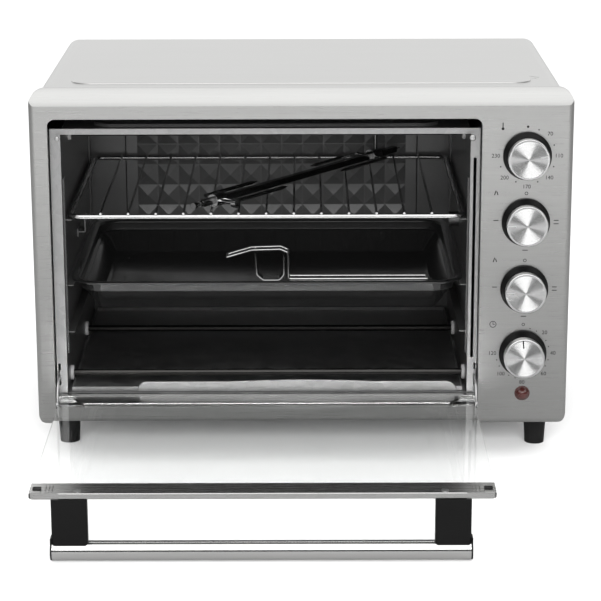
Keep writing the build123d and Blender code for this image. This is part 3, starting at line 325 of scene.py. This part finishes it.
def done(piece, name, body, finish, smooth=30):
    """Leaves edit mode, puts the piece's place into its mesh, and gives it its body and finish.

    Edges that turn by less than smooth degrees are shaded smooth; 0 leaves the piece flat."""
    if piece.mode == "EDIT":
        bpy.ops.object.mode_set(mode="OBJECT")
    bpy.ops.object.select_all(action="DESELECT")
    piece.select_set(True)
    bpy.context.view_layer.objects.active = piece
    for step in list(piece.modifiers):
        bpy.ops.object.modifier_apply(modifier=step.name)
    bpy.ops.object.transform_apply(location=True, rotation=True, scale=True)
    if smooth:
        bpy.ops.object.shade_smooth_by_angle(angle=radians(smooth))
    piece.name = name
    piece.data.materials.clear()
    piece.data.materials.append(finish)
    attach(piece, body)
    bpy.ops.object.select_all(action="DESELECT")
    return piece


def block(low, high):
    """A primitive box between two corners."""
    low, high = Vector(low), Vector(high)
    bpy.ops.object.select_all(action="DESELECT")
    bpy.ops.mesh.primitive_cube_add(size=1, location=(low + high) / 2)
    piece = bpy.context.active_object
    piece.scale = high - low
    bpy.ops.object.transform_apply(location=True, rotation=True, scale=True)
    return piece


def disc(place, radius, thick, sides=64):
    """A round slug that faces the front, its back on the given place."""
    bpy.ops.object.select_all(action="DESELECT")
    x, y, z = place
    bpy.ops.mesh.primitive_cylinder_add(
        vertices=sides, radius=radius, depth=thick, location=(x, y - thick / 2, z), rotation=(pi / 2, 0, 0))
    piece = bpy.context.active_object
    bpy.ops.object.transform_apply(location=True, rotation=True, scale=True)
    return piece


def copy_of(piece, shift):
    """A copy with its own mesh, moved by this much."""
    twin = piece.copy()
    twin.data = piece.data.copy()
    bpy.context.scene.collection.objects.link(twin)
    twin.location = Vector(piece.location) + Vector(shift)
    return twin


def joined(pieces):
    bpy.ops.object.select_all(action="DESELECT")
    for piece in pieces:
        piece.select_set(True)
    bpy.context.view_layer.objects.active = pieces[0]
    if len(pieces) > 1:
        bpy.ops.object.join()
    return bpy.context.view_layer.objects.active


# ---------------------------------------------------------------- knob caps

ridge_pitch = 0.50 * mm
ridge_depth = 0.095 * mm
cap_edge, cap_margin = 1.3 * mm, 0.9 * mm
pointer_width, pointer_start, pointer_end = 1.3 * mm, 9.5 * mm, 1.2 * mm
# which way each pointer looks, clockwise from the top, and its slot
knob_pointers = {"thermostat": (80, "zinc_screw"), "function_a": (-90, "zinc_screw"),
                 "function_b": (-90, "zinc_screw"), "timer": (-5, "black_plastic")}

for knob, (pointer_turn, pointer_slot) in knob_pointers.items():
    low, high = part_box(f"{knob}_knob_cap")
    radius = (high.x - low.x) / 2
    hub_x, hub_z = (low.x + high.x) / 2, (low.z + high.z) / 2
    cap = disc((hub_x, high.y, hub_z), radius, high.y - low.y, 96)
    chosen(cap, lambda face: face.normal.y < -0.9)
    bpy.ops.mesh.region_to_loop()
    bpy.ops.mesh.bevel(offset=cap_edge, segments=3, profile=0.6)
    chosen(cap, lambda face: face.normal.y < -0.99 and len(face.verts) > 50)
    bpy.ops.mesh.inset(thickness=cap_margin)
    ridges = int((radius - cap_edge - cap_margin - 0.7 * mm) / ridge_pitch)
    for ridge in range(ridges):
        bpy.ops.mesh.inset(thickness=ridge_pitch / 2, depth=-ridge_depth)
        bpy.ops.mesh.inset(thickness=ridge_pitch / 2, depth=ridge_depth)
    done(cap, f"{knob}_turned_cap", f"{knob}_knob",
         finishes["knob_aluminium"].material, 30)
    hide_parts(f"{knob}_knob_cap")
    bar = block((hub_x - pointer_width / 2, low.y - 0.02 * mm, hub_z + radius - pointer_start),
                (hub_x + pointer_width / 2, low.y + 0.6 * mm, hub_z + radius - pointer_end))
    chosen(bar, lambda face: face.normal.y < -0.9)
    bpy.ops.mesh.inset(thickness=0.15 * mm, depth=0.0)
    bpy.ops.transform.translate(value=(0, -0.10 * mm, 0))
    chosen(bar, lambda point: True, "VERT")
    bpy.ops.transform.rotate(value=radians(-pointer_turn), orient_axis="Y",
                             center_override=(hub_x, low.y, hub_z))
    done(bar, f"{knob}_pointer", f"{knob}_knob", finishes[pointer_slot].material, 0)


# ---------------------------------------------------------------- printed scales

print_depth = 0.05 * mm


def letters(text, x, z, height):
    """A printed number, centred on a place on the front."""
    bpy.ops.object.select_all(action="DESELECT")
    bpy.ops.object.text_add(rotation=(pi / 2, 0, 0), location=(x, oven_front - print_depth, z))
    piece = bpy.context.active_object
    piece.data.body = text
    piece.data.size = height / 0.70
    piece.data.align_x, piece.data.align_y = "CENTER", "CENTER"
    piece.data.extrude = print_depth
    piece.data.resolution_u = 3
    bpy.ops.object.convert(target="MESH")
    bpy.ops.object.transform_apply(location=True, rotation=True, scale=True)
    return piece


def dot(x, z, radius):
    return disc((x, oven_front, z), radius, 2 * print_depth, 16)


def ring(x, z, outer, width):
    """A printed circle line."""
    piece = disc((x, oven_front, z), outer, 2 * print_depth, 40)
    chosen(piece, lambda face: face.normal.y < -0.9 or face.normal.y > 0.9)
    bpy.ops.mesh.inset(thickness=width)
    bpy.ops.mesh.bridge_edge_loops()
    bpy.ops.object.mode_set(mode="OBJECT")
    return piece


def stroke(x, z, long, wide, turn):
    """A short printed line, turned clockwise from upright."""
    piece = block((x - wide / 2, oven_front - 2 * print_depth, z - long / 2),
                  (x + wide / 2, oven_front, z + long / 2))
    chosen(piece, lambda point: True, "VERT")
    bpy.ops.transform.rotate(value=radians(-turn), orient_axis="Y", center_override=(x, oven_front, z))
    bpy.ops.object.mode_set(mode="OBJECT")
    return piece


def around(knob, turn, reach):
    """The place on the front at this clockwise turn and distance from a knob's axis."""
    low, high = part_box(f"{knob}_shaft")
    hub_x, hub_z = (low.x + high.x) / 2, (low.z + high.z) / 2
    return hub_x + reach * sin(radians(turn)), hub_z + reach * cos(radians(turn))


figure = 4.1 * mm

thermostat_figures = ((45, "70"), (90, "110"), (135, "140"), (180, "170"), (225, "200"), (270, "230"))
heat_scale = [letters(text, *around("thermostat", turn, 32.5 * mm), figure)
              for turn, text in thermostat_figures]
heat_scale += [dot(*around("thermostat", turn, 29.5 * mm), 0.75 * mm)
               for turn in (22.5, 67.5, 112.5, 157.5, 202.5, 247.5)]
heat_scale += [dot(*around("thermostat", 0, 30.5 * mm), 1.3 * mm)]
x, z = around("thermostat", -40, 40.0 * mm)
heat_scale += [stroke(x, z + 1.4 * mm, 5.6 * mm, 1.0 * mm, 0), dot(x, z - 2.2 * mm, 1.5 * mm)]

timer_figures = ((45, "20"), (90, "40"), (135, "60"), (180, "80"), (225, "100"), (270, "120"))
minute_scale = [letters(text, *around("timer", turn, 32.0 * mm), figure) for turn, text in timer_figures]
minute_scale += [ring(*around("timer", 0, 31.5 * mm), 1.7 * mm, 0.6 * mm)]
minute_scale += [dot(*around("timer", turn, 28.0 * mm), 0.6 * mm)
                 for turn in range(15, 270, 15) if turn % 45]
x, z = around("timer", -45, 45.0 * mm)
minute_scale += [ring(x, z, 3.6 * mm, 0.7 * mm), stroke(x, z + 1.0 * mm, 2.6 * mm, 0.6 * mm, 0),
                 stroke(x + 0.9 * mm, z, 2.0 * mm, 0.6 * mm, 90)]

rod_long, rod_wide, rod_gap = 5.0 * mm, 0.8 * mm, 1.8 * mm
function_marks = []
for knob in ("function_a", "function_b"):
    function_marks += [ring(*around(knob, 0, 30.5 * mm), 1.8 * mm, 0.6 * mm)]
    x, z = around(knob, 90, 31.5 * mm)
    function_marks += [stroke(x, z + rod_gap, rod_long, rod_wide, 90),
                       stroke(x, z - rod_gap, rod_long, rod_wide, 90)]
    function_marks += [stroke(*around(knob, 180, 30.0 * mm), 5.5 * mm, rod_wide, 90)]
    x, z = around(knob, 270, 31.0 * mm)
    function_marks += [stroke(x, z + rod_gap, rod_long, rod_wide, 90)]
    x, z = around(knob, -45, 44.0 * mm)
    function_marks += [stroke(x - 1.1 * mm, z, 5.0 * mm, 1.0 * mm, 18),
                       stroke(x + 1.1 * mm, z - 0.4 * mm, 3.8 * mm, 1.0 * mm, -18)]

scales = {"heat_scale": heat_scale, "function_marks": function_marks, "minute_scale": minute_scale}
for name, marks in scales.items():
    done(joined(marks), name, "oven", ink, 0)


# ---------------------------------------------------------------- lamp lens

low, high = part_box("power_lamp")
lens_radius = (high.x - low.x) / 2
lens_place = ((low.x + high.x) / 2, low.y + 0.3 * mm, (low.z + high.z) / 2)
lens = disc(lens_place, lens_radius * 0.86, 0.8 * mm, 48)
chosen(lens, lambda face: face.normal.y < -0.9)
for tread, rise in ((0.10, 0.30), (0.14, 0.22), (0.18, 0.14), (0.20, 0.07), (0.20, 0.02)):
    bpy.ops.mesh.inset(thickness=tread * lens_radius, depth=rise * lens_radius)
done(lens, "lamp_dome", "oven", finishes["lamp_lens"].material, 60)


# ---------------------------------------------------------------- baking tray

low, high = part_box("baking_tray")
tray_sheet = 0.8 * mm
tray_rim, tray_band, tray_slope, tray_depth = 7.5 * mm, 9.0 * mm, 15.0 * mm, high.z - low.z
tray_corner = 33.0 * mm
shoulder_drop, bead_drop, floor_drop = 2.0 * mm, 1.0 * mm, 2.0 * mm
bpy.ops.object.select_all(action="DESELECT")
bpy.ops.mesh.primitive_plane_add(size=1, location=(low + high) / 2)
tray = bpy.context.active_object
tray.scale = (high.x - low.x - 2 * tray_sheet, high.y - low.y - 2 * tray_sheet, 1)
tray.location.z = high.z - tray_sheet
bpy.ops.object.transform_apply(location=True, rotation=True, scale=True)
chosen(tray, lambda point: True, "VERT")
bpy.ops.mesh.bevel(offset=tray_corner, segments=10, affect="VERTICES", profile=0.5)
chosen(tray, lambda face: True)
bpy.ops.mesh.inset(thickness=tray_rim)
bpy.ops.mesh.inset(thickness=1.5 * mm, depth=-shoulder_drop)
bpy.ops.mesh.inset(thickness=0.2 * mm, depth=-tray_band)
bpy.ops.mesh.inset(thickness=3.5 * mm, depth=-bead_drop)
bpy.ops.mesh.inset(thickness=tray_slope,
                   depth=-(tray_depth - tray_band - shoulder_drop - bead_drop - floor_drop))
bpy.ops.mesh.inset(thickness=4.0 * mm, depth=-(floor_drop - 1.5 * tray_sheet))
chosen(tray, lambda edge: edge.is_boundary, "EDGE")
for down in (0.7, 1.3):
    bpy.ops.mesh.extrude_edges_move(TRANSFORM_OT_translate={"value": (0, 0, -down * mm)})
wall = tray.modifiers.new("wall", "SOLIDIFY")
wall.thickness, wall.offset = tray_sheet, 0.0
round_over = tray.modifiers.new("round_over", "BEVEL")
round_over.width, round_over.segments, round_over.limit_method = 0.6 * mm, 2, "ANGLE"
round_over.angle_limit = radians(20)
done(tray, "enamel_tray", "pan", finishes["black_enamel"].material, 40)
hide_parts("baking_tray")


# ---------------------------------------------------------------- seat frame screws

frame_low, frame_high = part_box("door_seat_frame")


def round_head(name, x, y, z, radius):
    """A pan-head screw seen from the front, with a cross recess."""
    head = disc((x, y, z), radius, 0.5 * mm, 40)
    chosen(head, lambda face: face.normal.y < -0.9)
    for tread, rise in ((0.08, 0.22), (0.12, 0.16), (0.15, 0.08), (0.15, 0.02)):
        bpy.ops.mesh.inset(thickness=tread * radius, depth=rise * radius)
    bpy.ops.object.mode_set(mode="OBJECT")
    slot_long, slot_wide = radius * 1.05, radius * 0.2
    cutters = [block((x - a, y - 3 * mm, z - b), (x + a, y - 0.75 * mm, z + b))
               for a, b in ((slot_long / 2, slot_wide / 2), (slot_wide / 2, slot_long / 2))]
    for cutter in cutters:
        cut = head.modifiers.new("recess", "BOOLEAN")
        cut.object, cut.operation = cutter, "DIFFERENCE"
        bpy.context.view_layer.objects.active = head
        bpy.ops.object.modifier_apply(modifier=cut.name)
        bpy.data.objects.remove(cutter)
    done(head, name, "oven", finishes["zinc_screw"].material, 35)


round_head("seat_screw_right", frame_high.x - 9 * mm, frame_low.y, frame_high.z - 8 * mm, 3.4 * mm)
round_head("seat_screw_left", frame_low.x + 9 * mm, frame_low.y, frame_high.z - 8 * mm, 2.6 * mm)


# ---------------------------------------------------------------- pressed mark on the top

def pressed_line(name, centre_x, centre_y, z, width, depth):
    """A thin raised line that bows up in its middle, near the top's right front corner."""
    bpy.ops.object.select_all(action="DESELECT")
    bpy.ops.curve.primitive_bezier_curve_add(location=(0, 0, 0))
    line = bpy.context.active_object
    spline = line.data.splines[0]
    spline.bezier_points.add(1)
    places = ((-1.0, 0.0), (0.0, 1.0), (1.0, 0.0))
    for point, (across, up) in zip(spline.bezier_points, places):
        point.co = (centre_x + across * width / 2, centre_y + up * depth, z)
        point.handle_left_type = point.handle_right_type = "AUTO"
    line.data.bevel_depth = 0.35 * mm
    line.data.bevel_resolution = 2
    line.data.use_fill_caps = True
    bpy.ops.object.convert(target="MESH")
    done(line, name, "oven", finishes["brushed_cabinet"].material, 60)


top_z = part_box("cabinet_wrap")[1].z - 1.0 * mm
pressed_line("top_mark_back", 0.2380, 0.0500, top_z, 26 * mm, 9 * mm)
pressed_line("top_mark_front", 0.2380, 0.0440, top_z, 20 * mm, 3 * mm)


# ---------------------------------------------------------------- door corner pads and cap ribs

cap_low, cap_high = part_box("door_end_caps")
pad_side, pad_rise = 8.0 * mm, 0.8 * mm
rib_wide, rib_rise, rib_gap = 0.9 * mm, 0.35 * mm, 3.2 * mm


def corner_pad(name, x):
    """A small moulded pad that the door rests on when it is shut."""
    y = cap_low.y + 11.0 * mm
    pad = block((x - pad_side / 2, y - pad_side / 2, cap_high.z - 0.4 * mm),
                (x + pad_side / 2, y + pad_side / 2, cap_high.z + pad_rise))
    chosen(pad, lambda edge: abs(edge.verts[0].co.z - edge.verts[1].co.z) > pad_rise / 2, "EDGE")
    bpy.ops.mesh.bevel(offset=1.5 * mm, segments=4)
    chosen(pad, lambda face: face.normal.z > 0.9)
    bpy.ops.mesh.inset(thickness=0.4 * mm, depth=0.0)
    bpy.ops.transform.translate(value=(0, 0, -0.15 * mm))
    done(pad, name, "door", finishes["foot_plastic"].material, 30)


def cap_ribs(name, first_x, way):
    """Fine ribs across a cap, modelled once and repeated along it."""
    rib = block((first_x - rib_wide / 2, cap_low.y + 3.5 * mm, cap_high.z - 0.2 * mm),
                (first_x + rib_wide / 2, cap_low.y + 21.0 * mm, cap_high.z + rib_rise))
    chosen(rib, lambda face: face.normal.z > 0.9)
    bpy.ops.transform.resize(value=(0.6, 0.96, 1))
    bpy.ops.object.mode_set(mode="OBJECT")
    ribs = [rib] + [copy_of(rib, (way * step * rib_gap, 0, 0)) for step in (1, 2)]
    done(joined(ribs), name, "door", finishes["door_metal"].material, 0)


corner_pad("door_pad_left", cap_low.x + 7.0 * mm)
corner_pad("door_pad_right", cap_high.x - 7.0 * mm)
cap_ribs("door_ribs_left", cap_low.x + 15.0 * mm, 1)
cap_ribs("door_ribs_right", cap_high.x - 15.0 * mm, -1)


# ---------------------------------------------------------------- room

bpy.ops.object.select_all(action="DESELECT")
bpy.ops.mesh.primitive_plane_add(size=30, location=(0, 0, cad_low.z - 0.2 * mm))
floor = bpy.context.active_object
floor.name = "floor"
paper = Finish("floor_paper", base_color=(0.70, 0.70, 0.70), roughness=0.9)
# the floor looks darker in mirrors than it does straight on or through the glass
floor_path = paper.tree.nodes.new("ShaderNodeLightPath")
seen_through = Signal(paper, floor_path.outputs["Is Transmission Ray"])
mirror_ray = Signal(paper, floor_path.outputs["Is Glossy Ray"]) * (1.0 - seen_through)
shaded = paper.node("ShaderNodeBsdfDiffuse", None, {"Color": (0.31, 0.31, 0.31, 1.0)})
lit = Signal(paper, paper.shader.outputs[0])
paper.show(paper.node("ShaderNodeMixShader", None, {0: mirror_ray, 1: lit, 2: shaded}))
floor.data.materials.append(paper.material)

world = bpy.data.worlds.new("studio")
world.use_nodes = True
bpy.context.scene.world = world
sky = world.node_tree
background = sky.nodes["Background"]
background.inputs["Color"].default_value = (1, 1, 1, 1)
way = sky.nodes.new("ShaderNodeTexCoord")
parts = sky.nodes.new("ShaderNodeSeparateXYZ")
sky.links.new(way.outputs["Generated"], parts.inputs[0])


def room_math(operation, first, second=None):
    made = sky.nodes.new("ShaderNodeMath")
    made.operation = operation
    for slot, value in enumerate((first, second)):
        if isinstance(value, bpy.types.NodeSocket):
            sky.links.new(value, made.inputs[slot])
        elif value is not None:
            made.inputs[slot].default_value = value
    return made.outputs[0]


def room_fade(value, low, high, start, end):
    made = sky.nodes.new("ShaderNodeMapRange")
    made.interpolation_type = "SMOOTHSTEP"
    sky.links.new(value, made.inputs["Value"])
    for slot, number in (("From Min", low), ("From Max", high), ("To Min", start), ("To Max", end)):
        made.inputs[slot].default_value = number
    return made.outputs[0]


overhead = room_fade(parts.outputs["Z"], 0.26, 0.66, 0.0, 1.75)
behind = room_fade(parts.outputs["Y"], 0.0, 0.6, 0.08, 1.15)
glow = room_math("MAXIMUM", overhead, behind)
seen = sky.nodes.new("ShaderNodeLightPath").outputs["Is Camera Ray"]
level = room_math("ADD", room_math("MULTIPLY", glow, room_math("SUBTRACT", 1.0, seen)), seen)
sky.links.new(level, background.inputs["Strength"])
softbox("top_light", (0, -0.5, 2.6), (0, -0.2, 0), 3.0, 2.4, 10)
softbox("front_fill", (0, -2.6, 0.9), (0, -0.2, 0.1), 3.0, 1.4, 185, mirrored=False)
softbox("front_strip", (0, -2.7, 1.40), (0, -0.2, 0.2), 2.4, 1.0, 17)
